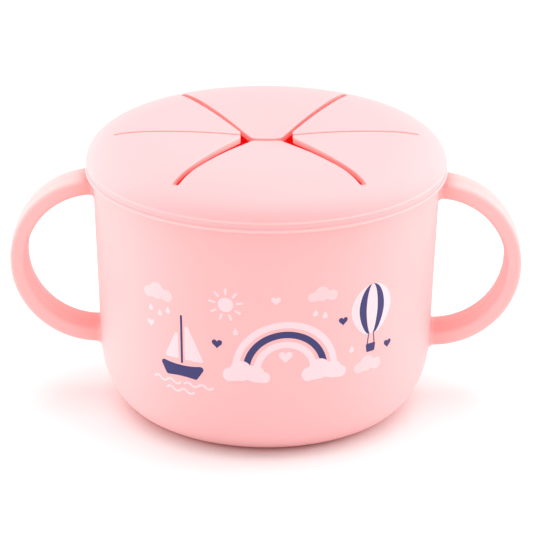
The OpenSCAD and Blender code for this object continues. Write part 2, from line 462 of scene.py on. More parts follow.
@dataclass
class Cup:
    """The cup: a cone with a large round corner to its base and a beaded lip."""

    base_r: float = 30.7 * MM
    corner_w: float = 11.1 * MM
    corner_h: float = 18.1 * MM
    rim_r: float = 43.2 * MM
    height: float = 64.6 * MM
    wall: float = 2.2 * MM
    base_t: float = 3.0 * MM
    lip_r: float = 1.35 * MM
    segments: int = 256

    @property
    def corner_r(self) -> float:
        """Outside radius at the top of the round corner."""
        return self.base_r + self.corner_w

    @property
    def mouth_r(self) -> float:
        """Radius of the mouth inside the lip."""
        return self.rim_r - self.wall

    @property
    def lip(self) -> tuple[float, float]:
        """Radius and height of the middle of the lip's bead."""
        return self.mouth_r + self.lip_r, self.height - self.lip_r

    @property
    def lip_start(self) -> float:
        """Angle at which the lip's bead leaves the outside wall, in degrees."""
        return -math.degrees(math.acos((self.rim_r - self.lip[0]) / self.lip_r))

    def outside(self, height: np.ndarray) -> np.ndarray:
        """Outside radius of the wall at some heights below the lip."""
        height = np.asarray(height, float)
        low = np.clip((self.corner_h - height) / self.corner_h, 0, 1)
        top = self.lip[1] + self.lip_r * math.sin(math.radians(self.lip_start))
        cone = self.corner_r + (self.rim_r - self.corner_r) * (height - self.corner_h) / (top - self.corner_h)
        return np.where(height < self.corner_h, self.base_r + self.corner_w * np.sqrt(1 - low ** 2), cone)

    def profile(self) -> np.ndarray:
        """The whole section from the middle of the base, over the lip, to the middle of the floor."""
        floor_r = np.linspace(self.base_r, 0, 6)[1:]
        return np.vstack([
            np.column_stack((floor_r[::-1], np.zeros(5))),
            arc((self.base_r, self.corner_h), (self.corner_w, self.corner_h), -90, 0, 32),
            np.column_stack([np.linspace(self.corner_r, self.rim_r, 24)[1:-1],
                             np.linspace(self.corner_h, self.lip[1] + self.lip_r * math.sin(
                                 math.radians(self.lip_start)), 24)[1:-1]]),
            arc(self.lip, (self.lip_r, self.lip_r), self.lip_start, 180, 20),
            arc((self.base_r, self.corner_h),
                (self.corner_w - self.wall, self.corner_h - self.base_t), 0, -90, 24),
            np.column_stack((floor_r, np.full(5, self.base_t)))])

    def build(self, skin: bpy.types.Material, glow: bpy.types.Material) -> bpy.types.Object:
        """Makes the cup's shell.

        Args:
            skin: the silicone.
            glow: the silicone with a painted glow and painted shade, for the wall's inside.

        Returns:
            The piece, which stands for the CAD node cup_body.
        """
        draft = Draft()
        profile = self.profile()
        # Faces from a little inside the lip onwards take the finish with the painted glow and painted shade.
        lip_end = int(np.argmax(profile[:, 1])) + 10
        paints = [Paint.PAINTED_GLOW if i >= lip_end else Paint.SKIN for i in range(len(profile) - 1)]
        draft.revolve(profile, self.segments, paints)
        piece = draft.build("cup_shell", [skin, glow], crease=35)
        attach(piece, Body.CUP.value)
        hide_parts("cup_body")
        return piece


@dataclass
class Handle:
    """A loop handle: a round strap that flares into the cup's wall at both ends."""

    cup: Cup
    side: int
    centre: tuple[float, float] = (42.3 * MM, 37.7 * MM)
    outer_r: float = 21.8 * MM
    thickness: float = 4.0 * MM
    width: float = 10.5 * MM
    edge_round: float = 1.1 * MM
    flare: float = 1.3 * MM
    overlap: float = 0.3 * MM
    seam_h: float = 0.1 * MM
    seam_w: float = 0.22 * MM
    steps: int = 96
    flare_steps: int = 7
    corner_steps: int = 7

    def section(self) -> tuple[np.ndarray, np.ndarray]:
        """The strap's section, and the directions out of it.

        Returns:
            Points as radius and Y, and unit vectors in the same terms.
        """
        half_t, half_w, r = self.thickness / 2, self.width / 2, self.edge_round
        points, outward = [], []
        corners = ((1, 1, 0), (-1, 1, 90), (-1, -1, 180), (1, -1, 270))
        for i, (sx, sy, start) in enumerate(corners):
            centre = (sx * (half_t - r), sy * (half_w - r))
            points += list(arc(centre, (r, r), start, start + 90, self.corner_steps))
            outward += list(arc((0, 0), (1, 1), start, start + 90, self.corner_steps))
            nx, ny = corners[(i + 1) % 4][:2]
            goal = np.array([nx * (half_t - r), ny * (half_w - r)]) + r * outward[-1]
            if sx == nx:
                side = np.array([sx, 0.0])
                for y, height in ((3, 0), (1.2, 0), (0.5, 0.6), (0, 1), (-0.5, 0.6), (-1.2, 0), (-3, 0)):
                    points.append(side * (half_t + height * self.seam_h)
                                  + np.array([0, -sx * y * self.seam_w]))
                    outward.append(side)
            else:
                points += [points[-1] + (goal - points[-1]) * f for f in (0.5,)]
                outward.append(outward[-1])
        points = np.array(points) + [self.outer_r - half_t, 0]
        return points, np.array(outward)

    def wall_angle(self, section: np.ndarray, top: bool) -> np.ndarray:
        """Angle round the handle at which each section point meets the wall's outside.

        Args:
            section: points as radius and Y.
            top: True for the upper end, False for the lower one.

        Returns:
            Angles in radians, from the handle's outermost point.
        """
        sign = 1 if top else -1
        near, far = np.full(len(section), 0.4 * math.pi), np.full(len(section), 0.75 * math.pi)
        for _ in range(40):
            middle = (near + far) / 2
            x = self.centre[0] + section[:, 0] * np.cos(middle)
            z = self.centre[1] + sign * section[:, 0] * np.sin(middle)
            outside = np.hypot(x, section[:, 1]) > self.cup.outside(z)
            near, far = np.where(outside, middle, near), np.where(outside, far, middle)
        return sign * near

    def build(self, finish: bpy.types.Material) -> bpy.types.Object:
        """Makes the handle.

        Args:
            finish: the silicone.

        Returns:
            The piece, which stands for the CAD node of this side's handle.
        """
        base, outward = self.section()
        rows = []
        for top in (False, True):
            ends = []
            for theta in np.radians(np.linspace(90, 0, self.flare_steps + 1)):
                section = base + outward * self.flare * (1 - math.cos(theta))
                back = self.flare * (1 - math.sin(theta)) / section[:, 0]
                angle = self.wall_angle(section, top)
                ends.append((section, angle - np.sign(angle) * back))
            section, angle = ends[0]
            ends.insert(0, (section, angle + np.sign(angle) * self.overlap / section[:, 0]))
            rows.append(ends)
        low, high = rows[0], rows[1]
        start, end = low[-1][1], high[-1][1]
        middle = [(base, start + (end - start) * t) for t in np.linspace(0, 1, self.steps + 1)[1:-1]]
        draft = Draft()
        rings = []
        for section, angle in low + middle + high[::-1]:
            rings.append(draft.add(np.column_stack((
                self.side * (self.centre[0] + section[:, 0] * np.cos(angle)),
                section[:, 1], self.centre[1] + section[:, 0] * np.sin(angle)))))
        for ring, other in zip(rings, rings[1:]):
            draft.strip(ring, other, closed=True)
        draft.face(list(rings[0]))
        draft.face(list(rings[-1]))
        name = "right_handle" if self.side > 0 else "left_handle"
        piece = draft.build(name + "_strap", [finish])
        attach(piece, Body.CUP.value)
        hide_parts(name)
        return piece


@dataclass(frozen=True)
class Line:
    """A straight line in plan: a point on it, and the direction it runs in."""

    point: np.ndarray
    along: np.ndarray

    @property
    def left(self) -> np.ndarray:
        """Unit vector to its left."""
        return np.array([-self.along[1], self.along[0]])

    def shifted(self, distance: float) -> "Line":
        """The line moved to its left."""
        return Line(self.point + self.left * distance, self.along)

    def meet(self, other: "Line") -> np.ndarray:
        """The point where it meets another line."""
        run = (other.point - self.point) @ other.left / (self.along @ other.left)
        return self.point + self.along * run


def across(azimuth: float, distance: float) -> Line:
    """The line that crosses a direction square, at a distance from the middle."""
    out = direction(azimuth)
    return Line(out * distance, np.array([-out[1], out[0]]))


@dataclass(frozen=True)
class Cut:
    """A slot or slit in the lid: its middle line runs outwards from the line of the slits.

    The middle of its round end lies at end_run on top, and at under_run on the underside.
    """

    middle: Line
    width: float
    end_run: float
    under_run: float

    @property
    def clockwise_edge(self) -> Line:
        """Its edge on the clockwise side, seen from above."""
        return self.middle.shifted(-self.width / 2)

    @property
    def other_edge(self) -> Line:
        """Its edge on the other side."""
        return self.middle.shifted(self.width / 2)

    @property
    def end(self) -> Line:
        """The line that touches its round end."""
        out = self.middle.along
        return Line(self.middle.point + out * (self.end_run + self.width / 2), self.middle.left)


@dataclass(frozen=True)
class Flap:
    """What sets one flap apart: its hinge line, its tip and the cuts at its sides."""

    name: str
    azimuth: float
    hinge_d: float
    hinge_z: float
    seam: Line
    tip: Line
    tip_round: float
    first: Cut
    second: Cut
    droop: float


@dataclass
class EdgePath:
    """An open path along cut edges, with the step from each point straight into the material.

    The material is on the right of the path. The path's two ends lie on seams, where the step
    follows the seam.
    """

    corners: list
    radius: float
    first_seam: np.ndarray
    last_seam: np.ndarray
    spacing: float = 0.9 * MM
    least: float = 0.005 * MM
    corner_spacing: float = 0.15 * MM
    points: np.ndarray = field(init=False)
    steps: np.ndarray = field(init=False)

    def __post_init__(self) -> None:
        """Works out the points and steps."""
        a, b, c, d = self.corners
        corner_steps = min(10, max(5, round(self.radius / self.corner_spacing)))
        bends = [bend(a, b, c, self.radius, corner_steps), bend(b, c, d, self.radius, corner_steps)]
        points, steps = [], []
        at = a
        for bend_points, bend_steps in bends + [(np.array([d]), np.array([[0.0, 0.0]]))]:
            run = bend_points[0] - at
            length = np.hypot(*run)
            if length > 1e-9:
                out = np.array([run[1], -run[0]]) / length
                count = max(1, round(length / self.spacing))
                share = np.linspace(0, 1, count + 1)
                points += [at + run * s for s in share]
                steps += [out] * (count + 1)
            if len(bend_points) > 1:
                points += list(bend_points)
                steps += list(bend_steps)
            at = bend_points[-1]
        kept = [0] + [i for i in range(1, len(points))
                      if np.hypot(*(points[i] - points[i - 1])) > self.least]
        self.points = np.array([points[i] for i in kept])
        self.steps = np.array([steps[i] for i in kept])
        for i, seam in ((0, self.first_seam), (-1, self.last_seam)):
            along = seam / (seam @ self.steps[i])
            self.steps[i] = along

    def pulled_back(self, cut: Cut) -> "EdgePath":
        """The same path on the underside, where the sloping end of a cut stops short."""
        run = (self.points - cut.middle.point) @ cut.middle.along
        start = run[[0, -1]].max()
        share = np.clip((run - start) / (cut.end_run - start), 0, 1)
        under = copy.copy(self)
        under.points = self.points - np.outer(share, cut.middle.along) * (cut.end_run - cut.under_run)
        return under


@dataclass
class LidShape:
    """Sizes and surfaces of the lid that its rim and its flaps share."""

    cup: Cup
    turn: float = 2.0
    skirt_t: float = 1.2 * MM
    skirt_drop: float = 3.2 * MM
    band_h: float = 2.45 * MM
    band_groove: float = 0.4 * MM
    skirt_round: float = 0.5 * MM
    dome_h: float = 7.4 * MM
    dome_p: float = 8.7
    dome_q: float = 0.6
    dip_h: float = 1.25 * MM
    dip_r: float = 13.0 * MM
    skin_t: float = 1.7 * MM
    plug_t: float = 1.2 * MM
    plug_drop: float = 4.0 * MM
    seat_gap: float = 0.1 * MM
    plug_round: float = 0.5 * MM
    root_fillet: float = 0.7 * MM
    slot_x: float = 4.3 * MM
    slot_a: float = 61.4
    slot_w: float = 1.75 * MM
    slit_w: float = 0.8 * MM
    front_slot_reach: float = 40.3 * MM
    back_slot_reach: float = 37.0 * MM
    slit_reach: float = 37.8 * MM
    hinge_reach: float = 33.0 * MM
    tip_gap: float = 0.9 * MM
    side_tip_x: float = 6.5 * MM
    tip_round: float = 2.0 * MM
    side_tip_round: float = 0.6 * MM
    front_droop: float = 2.45
    back_droop: float = 2.05
    bend_half: float = 2.2 * MM
    edge_round: float = 0.28 * MM
    under_round: float = 0.25 * MM
    edge_rows: int = 5
    pitch: float = 1.0 * MM

    def __post_init__(self) -> None:
        """Works out the sizes that follow from the others."""
        self.skirt_in_r = self.cup.lip[0] + self.cup.lip_r + self.seat_gap
        self.outer_r = self.skirt_in_r + self.skirt_t
        self.skirt_z = self.cup.height - self.skirt_drop
        self.dome_z0 = self.skirt_z + self.band_h
        self.dome_r = self.outer_r - 0.05 * MM
        self.plug_z = self.cup.height - self.plug_drop
        share = (self.plug_z - self.cup.corner_h) / (self.cup.lip[1] - self.cup.corner_h)
        wall_in = self.cup.corner_r - self.cup.wall
        self.plug_r = wall_in + (self.cup.mouth_r - wall_in) * share - self.seat_gap
        self.skin_r = self.plug_r - self.plug_t - self.root_fillet

    def top(self, radius: np.ndarray) -> np.ndarray:
        """Height of the dome's top surface."""
        radius = np.abs(radius)
        shoulder = np.clip(1 - (radius / self.dome_r) ** self.dome_p, 0, 1) ** self.dome_q
        return self.dome_z0 + self.dome_h * shoulder - self.dip_h * np.exp(-(radius / self.dip_r) ** 2)

    def under(self, radius: np.ndarray) -> np.ndarray:
        """Height of the skin's underside."""
        step = 0.05 * MM
        slope = (self.top(radius + step) - self.top(radius - step)) / (2 * step)
        return self.top(radius) - self.skin_t * np.sqrt(1 + slope ** 2)

    def slot_run(self, radius: float) -> float:
        """Length along a slot's middle line, from the line of the slits to a radius."""
        offset = self.slot_x * math.sin(math.radians(self.slot_a))
        return math.sqrt(radius ** 2 - offset ** 2) - self.slot_x * math.cos(math.radians(self.slot_a))

    def cuts(self) -> list[Cut]:
        """The two slits and four slots, in order round the lid from the slit at +X."""
        made = []
        widest = self.skin_r - 2 * self.edge_round
        for azimuth in (0, self.slot_a, 180 - self.slot_a, 180, 180 + self.slot_a, 360 - self.slot_a):
            out = direction(azimuth)
            if azimuth % 180 == 0:
                run = self.slit_reach - self.slit_w / 2
                made.append(Cut(Line(np.zeros(2), out), self.slit_w, run, run))
            else:
                start = np.array([math.copysign(self.slot_x, out[0]), 0.0])
                reach = self.back_slot_reach if out[1] > 0 else self.front_slot_reach
                run, under = (self.slot_run(r - self.slot_w / 2) for r in (reach, min(reach, widest)))
                made.append(Cut(Line(start, out), self.slot_w, run, under))
        return made

    def flaps(self) -> list[Flap]:
        """The six flaps, in order round the lid from the one behind the slit at +X."""
        end = np.array([self.slot_x, 0]) + self.slot_run(self.hinge_reach) * direction(self.slot_a)
        chord = end - np.array([self.hinge_reach, 0])
        side_a = math.degrees(math.atan2(-chord[0], chord[1]))
        side_d = self.hinge_reach * math.cos(math.radians(side_a))
        cuts = self.cuts()
        made = []
        names = ("right_back", "back", "left_back", "left_front", "front", "right_front")
        azimuths = (side_a, 90, 180 - side_a, 180 + side_a, 270, 360 - side_a)
        for i, (name, azimuth) in enumerate(zip(names, azimuths)):
            in_middle = azimuth % 180 == 90
            droop = {"front": self.front_droop, "back": self.back_droop}.get(name, 0.0)
            hinge_d = end[1] if in_middle else side_d
            sag = self.top(hinge_d) - self.top(self.hinge_reach)
            made.append(Flap(
                name + "_flap", azimuth, hinge_d, float(self.top(hinge_d) - sag / 2 - self.skin_t / 2),
                across(azimuth, hinge_d + self.bend_half + 0.2 * MM),
                across(azimuth, self.tip_gap / 2) if in_middle
                else across(0 if math.cos(math.radians(azimuth)) > 0 else 180, self.side_tip_x),
                self.tip_round if in_middle else self.side_tip_round,
                cuts[i], cuts[(i + 1) % 6], droop))
        return made

    def seam_points(self, start: np.ndarray, end: np.ndarray) -> np.ndarray:
        """Even points on a seam between two points of it, without those two."""
        count = max(2, round(float(np.hypot(*(end - start))) / self.pitch))
        return np.array([start + (end - start) * i / count for i in range(1, count)])

    def turned(self, points: np.ndarray) -> np.ndarray:
        """Turns points from the lid's own plan to its place on the cup."""
        c, s = math.cos(math.radians(self.turn)), math.sin(math.radians(self.turn))
        return np.column_stack((points[:, 0] * c - points[:, 1] * s,
                                points[:, 0] * s + points[:, 1] * c, points[:, 2]))


@dataclass
class Plate:
    """One side of a stretch of the dome's skin, with rounded cut edges.

    Rows of points run beside each cut edge, closer together near it, and the rest is filled
    with even triangles.
    """

    shape: LidShape
    paths: list[EdgePath]
    on_top: bool

    def __post_init__(self) -> None:
        """Works out the distances of the rows from a cut edge."""
        theta = np.radians(np.linspace(0, 90, self.shape.edge_rows + 1))
        self.offsets = self.shape.edge_round * (1 - np.cos(theta))

    def rounding(self, offset: float, radius: float) -> float:
        """How far a rounded edge drops at an offset from the cut."""
        inner = max(0.0, radius - offset)
        return radius - math.sqrt(radius ** 2 - inner ** 2)

    def heights(self, plan: np.ndarray, offset: Optional[float] = None) -> np.ndarray:
        """Points of the surface above or below some points in plan.

        Args:
            plan: the points in plan.
            offset: their distance from the cut edge, or None away from it.

        Returns:
            Points in space.
        """
        radius = np.hypot(plan[:, 0], plan[:, 1])
        offset = self.shape.edge_round if offset is None else offset
        if self.on_top:
            z = self.shape.top(radius) - self.rounding(offset, self.shape.edge_round)
        else:
            z = self.shape.under(radius) + self.rounding(offset, self.shape.under_round)
        return np.column_stack((plan, z))

    def rows(self, draft: Draft, place: Callable) -> list[list[np.ndarray]]:
        """Adds the rows beside the cut edges.

        Args:
            draft: the piece being made.
            place: moves points from the lid's own plan to where they belong.

        Returns:
            For each path, the numbers of its rows' points.
        """
        made = []
        for path in self.paths:
            rows = [draft.add(place(self.heights(path.points + path.steps * offset, offset)))
                    for offset in self.offsets]
            # Top roundings take the paler finish, a painted highlight; under roundings take the one with painted
            # glow and painted shade.
            for row, other in zip(rows, rows[1:]):
                draft.strip(row, other, paint=Paint.PAINTED_HIGHLIGHT if self.on_top else Paint.PAINTED_GLOW)
            made.append(rows)
        return made

    def inner_rows(self) -> list[np.ndarray]:
        """The innermost row of each path, in plan."""
        return [path.points + path.steps * self.offsets[-1] for path in self.paths]


@dataclass
class LidFlap:
    """One flap of the lid, with the stretch of skin across its living hinge."""

    shape: LidShape
    flap: Flap

    def place(self, points: np.ndarray) -> np.ndarray:
        """Sags the flap about its hinge and turns it with the lid."""
        flap, shape = self.flap, self.shape
        out = direction(flap.azimuth)
        reach = points[:, :2] @ out
        share = np.clip((flap.hinge_d + shape.bend_half - reach) / (2 * shape.bend_half), 0, 1)
        angle = math.radians(flap.droop) * share ** 2 * (3 - 2 * share)
        away, rise = reach - flap.hinge_d, points[:, 2] - flap.hinge_z
        new_away = away * np.cos(angle) - rise * np.sin(angle)
        new_rise = away * np.sin(angle) + rise * np.cos(angle)
        moved = points.copy()
        moved[:, :2] += np.outer(new_away - away, out)
        moved[:, 2] = flap.hinge_z + new_rise
        return shape.turned(moved)

    def build(self, finishes: list) -> bpy.types.Object:
        """Makes the flap.

        Args:
            finishes: the silicone, a paler one with painted glow and painted shade for the walls of a cut, and a
                paler one as a painted highlight on edges.

        Returns:
            The piece, which stands for the CAD node of the same flap.
        """
        flap, shape = self.flap, self.shape
        first, second = flap.first.other_edge, flap.second.clockwise_edge
        path = EdgePath(
            [flap.seam.meet(first), flap.tip.meet(first), flap.tip.meet(second), flap.seam.meet(second)],
            flap.tip_round, flap.seam.along, -flap.seam.along)
        plates = [Plate(shape, [path], on_top) for on_top in (True, False)]
        inner = plates[0].inner_rows()[0]
        seam = shape.seam_points(inner[0], inner[-1])
        plan, triangles = fill_plan(np.vstack([inner, seam[::-1]]), None, shape.pitch, 0.55 * shape.pitch)
        draft = Draft()
        sides = []
        for plate in plates:
            rows = plate.rows(draft, self.place)[0]
            rest = draft.add(self.place(plate.heights(plan[len(inner):])))
            numbers = np.concatenate([rows[-1], rest])
            for corners in triangles:
                draft.face(numbers[corners])
            seam_row = np.concatenate([[r[0] for r in rows], rest[:len(seam)][::-1], [r[-1] for r in rows[::-1]]])
            sides.append((rows[0], seam_row))
        (top_edge, top_seam), (under_edge, under_seam) = sides
        # The cut's wall takes the finish with painted glow and painted shade.
        draft.strip(top_edge, under_edge, paint=Paint.PAINTED_GLOW)
        draft.strip(top_seam, under_seam)
        piece = draft.build(flap.name + "_skin", finishes)
        start, end = (shape.turned(np.array([[*(direction(flap.azimuth) * d), flap.hinge_z]]))[0]
                      for d in (flap.hinge_d + shape.bend_half, flap.hinge_d - shape.bend_half))
        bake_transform(piece)
        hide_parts(flap.name)
        return piece


@dataclass
class LidRim:
    """The lid round its flaps: the skin with its slots' ends, the shoulder, band, skirt and plug."""

    shape: LidShape
    top_r: float = 41.2 * MM
    segments: int = 288
    ledge_z: float = 0.45 * MM
    ledge_step: float = 0.32 * MM
    ledge_run: float = 2.2 * MM
    ledge_fillet: float = 0.35 * MM
    ledge_flat: float = 0.12 * MM
    ledge_round: float = 0.1 * MM
    ledge_tilt: float = 55.0

    def profile(self) -> list[tuple[np.ndarray, Paint]]:
        """Section from the skin's outer edge on top, round the outside, to the same edge below.

        Returns:
            Stretches of radii and heights, each with its finish.
        """
        s, lip = self.shape, self.shape.cup.lip
        share = (s.top(self.top_r) - s.dome_z0) / s.dome_h
        level = np.linspace(float(share), self.ledge_z / s.dome_h, 26)[1:]
        radii = s.dome_r * (1 - level ** (1 / s.dome_q)) ** (1 / s.dome_p)
        heights = s.top(radii)
        low = np.clip((s.dome_z0 + self.ledge_z + self.ledge_run - heights) / self.ledge_run, 0, 1)
        shoulder = np.column_stack((radii - self.ledge_step * low ** 2, heights))
        fillet = arc(shoulder[-1] + (self.ledge_fillet, 0), (self.ledge_fillet, self.ledge_fillet),
                     180, 180 + self.ledge_tilt, 5)[1:]
        up = direction(self.ledge_tilt)
        brink = fillet[-1] + np.array([up[1], -up[0]]) * self.ledge_flat - up * self.ledge_round
        edge = arc(tuple(brink), (self.ledge_round, self.ledge_round), self.ledge_tilt, -60, 6)
        band_r = s.outer_r - s.band_groove
        lip_r = s.cup.lip_r + s.seat_gap
        meets = math.degrees(math.acos(1 - s.band_groove / s.skirt_round))
        skirt_middle = (s.outer_r - s.skirt_round, s.skirt_z + s.skirt_round)
        skirt_radii = (s.skirt_round, s.skirt_round)
        # The ledge's fillet and edge, and the top of the skirt's bead, take the paler finish: painted highlight
        # lines.
        return [
            (shoulder, Paint.SKIN), (fillet, Paint.PAINTED_HIGHLIGHT), (edge, Paint.PAINTED_HIGHLIGHT),
            (np.array([[band_r + 0.02 * MM, edge[-1, 1] - 0.06 * MM],
                       [band_r, edge[-1, 1] - 0.14 * MM]]), Paint.SKIN),
            (arc(skirt_middle, skirt_radii, meets, meets, 1)[:1], Paint.SKIN),
            (arc(skirt_middle, skirt_radii, meets, -10, 8)[1:], Paint.PAINTED_HIGHLIGHT),
            (arc(skirt_middle, skirt_radii, -10, -90, 8)[1:], Paint.SKIN),
            (np.array([[s.skirt_in_r + 0.08 * MM, s.skirt_z],
                       [s.skirt_in_r, s.skirt_z + 0.08 * MM]]), Paint.SKIN),
            (arc(lip, (lip_r, lip_r), 0, 180, 24), Paint.SKIN),
            (arc((s.plug_r - s.plug_round, s.plug_z + s.plug_round),
                 (s.plug_round, s.plug_round), 0, -90, 8), Paint.SKIN),
            (arc((s.plug_r - s.plug_t + s.plug_round, s.plug_z + s.plug_round),
                 (s.plug_round, s.plug_round), -90, -180, 8), Paint.SKIN),
            (arc((s.skin_r, float(s.under(s.skin_r)) - s.root_fillet),
                 (s.root_fillet, s.root_fillet), 0, 90, 8)[:-1], Paint.SKIN)]

    def build(self, finishes: list) -> bpy.types.Object:
        """Makes the rim.

        Args:
            finishes: the silicone, a paler one with painted glow and painted shade for the walls of a cut, and a
                paler one as a painted highlight on edges.

        Returns:
            The piece, which stands for the CAD node lid_rim.
        """
        shape, flaps = self.shape, self.shape.flaps()
        paths = []
        for i, flap in enumerate(flaps):
            before, notch = flaps[i - 1], flap.first
            a, d = before.seam.meet(notch.clockwise_edge), flap.seam.meet(notch.other_edge)
            b, c = notch.end.meet(notch.clockwise_edge), notch.end.meet(notch.other_edge)
            paths.append(EdgePath([a, b, c, d], notch.width / 2 - 0.01 * MM,
                                  -before.seam.along, flap.seam.along))
        under_paths = [path.pulled_back(flap.first) for path, flap in zip(paths, flaps)]
        turn = np.arange(self.segments) * 2 * math.pi / self.segments
        circle = np.column_stack((np.cos(turn), np.sin(turn)))
        draft = Draft()
        sides = []
        for plate, ring in ((Plate(shape, paths, True), self.top_r * circle),
                            (Plate(shape, under_paths, False), shape.skin_r * circle)):
            inner = plate.inner_rows()
            seams = [shape.seam_points(inner[i][-1], inner[(i + 1) % 6][0]) for i in range(6)]
            hole = np.vstack([part for pair in zip(inner, seams) for part in pair])
            plan, triangles = fill_plan(ring, hole, shape.pitch, 0.55 * shape.pitch)
            rows = plate.rows(draft, shape.turned)
            outer = draft.add(shape.turned(plate.heights(ring)))
            numbers = list(outer)
            seam_rows = []
            for i in range(6):
                numbers += list(rows[i][-1])
                made = draft.add(shape.turned(plate.heights(seams[i])))
                numbers += list(made)
                seam_rows.append(np.concatenate([[r[-1] for r in rows[i]], made,
                                                 [r[0] for r in rows[(i + 1) % 6][::-1]]]))
            free = plan[len(numbers):]
            numbers += list(draft.add(shape.turned(plate.heights(free))))
            for corners in triangles:
                draft.face([numbers[c] for c in corners])
            sides.append((outer, [r[0] for r in rows], seam_rows))
        (top_ring, top_edges, top_seams), (under_ring, under_edges, under_seams) = sides
        # The cuts' walls take the finish with painted glow and painted shade.
        for top, under in zip(top_edges, under_edges):
            draft.strip(top, under, paint=Paint.PAINTED_GLOW)
        for top, under in zip(top_seams, under_seams):
            draft.strip(top, under)
        around = turn + math.radians(shape.turn)
        last = top_ring
        for stretch, paint in self.profile():
            for radius, height in stretch:
                row = draft.add(np.column_stack((radius * np.cos(around), radius * np.sin(around),
                                                 np.full(self.segments, height))))
                draft.strip(last, row, closed=True, paint=paint)
                last = row
        draft.strip(last, under_ring, closed=True)
        piece = draft.build("lid_rim_skin", finishes)
        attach(piece, Body.LID.value)
        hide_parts("lid_rim")
        return piece


class Ink(int, Enum):
    """The print's inks, in the order of its finishes."""

    PALE = 0
    NAVY = 1
    FAINT = 2


@dataclass(frozen=True)
class Shape:
    """One printed shape: its closed outline in millimetres, its ink and its layer."""

    outline: np.ndarray
    ink: Ink
    layer: int = 0


def disc(x: float, y: float, radius: float, steps: int = 28) -> np.ndarray:
    """Outline of a disc."""
    return arc((x, y), (radius, radius), 0, 360, steps)[:-1]


def rounded(corners: list, radius: float) -> np.ndarray:
    """Outline of a polygon with round corners."""
    at = [np.array(c, float) for c in corners]
    return np.vstack([bend(at[i - 1], at[i], at[(i + 1) % len(at)], radius, 5)[0]
                      for i in range(len(at))])


def stroke(points: list, width: float) -> np.ndarray:
    """Outline of a line with round ends, along some points."""
    path = np.array(points, float)
    along = np.gradient(path, axis=0)
    along /= np.hypot(*along.T)[:, None]
    left = np.column_stack((-along[:, 1], along[:, 0])) * width / 2
    turn = [math.degrees(math.atan2(v[1], v[0])) for v in (along[-1], along[0])]
    end, start = (arc(tuple(point), (width / 2, width / 2), first + 90, first - 90, 8)[1:-1]
                  for point, first in ((path[-1], turn[0]), (path[0], turn[1] + 180)))
    return np.vstack([path + left, end, (path - left)[::-1], start])


def puffs(x: float, y: float, discs: list, steps: int = 96) -> np.ndarray:
    """Outline of a cloud: discs that overlap, cut off by a flat base.

    Args:
        x: middle of the cloud.
        y: height of its base.
        discs: each one's place from the middle of the base, and its radius.
        steps: number of points.

    Returns:
        The outline.
    """
    eye = np.array([0.0, 0.9])
    points = []
    for turn in np.linspace(0, 2 * math.pi, steps, endpoint=False):
        ray = np.array([math.cos(turn), math.sin(turn)])
        reach = 0.0
        for u, v, radius in discs:
            to = np.array([u, v]) - eye
            run = to @ ray
            left = radius ** 2 - (to @ to - run ** 2)
            if left > 0:
                reach = max(reach, run + math.sqrt(left))
        if ray[1] < 0:
            reach = min(reach, -eye[1] / ray[1])
        points.append(eye + ray * reach + (x, y))
    return np.array(points)


def heart(x: float, y: float, size: float) -> np.ndarray:
    """Outline of a heart."""
    t = np.linspace(0, 2 * math.pi, 36, endpoint=False)
    shape = np.column_stack((16 * np.sin(t) ** 3, 13 * np.cos(t) - 5 * np.cos(2 * t)
                             - 2 * np.cos(3 * t) - np.cos(4 * t)))
    shape[np.abs(shape[:, 0]) < 1e-3, 0] = 0
    return shape * size / 32 + (x, y)


def drop(x: float, y: float, size: float) -> np.ndarray:
    """Outline of a raindrop with its tip upwards."""
    t = np.linspace(0, 2 * math.pi, 24, endpoint=False)
    return np.column_stack((np.sin(t) * np.sin(t / 2) ** 1.6, np.cos(t))) * size / 2 + (x, y)


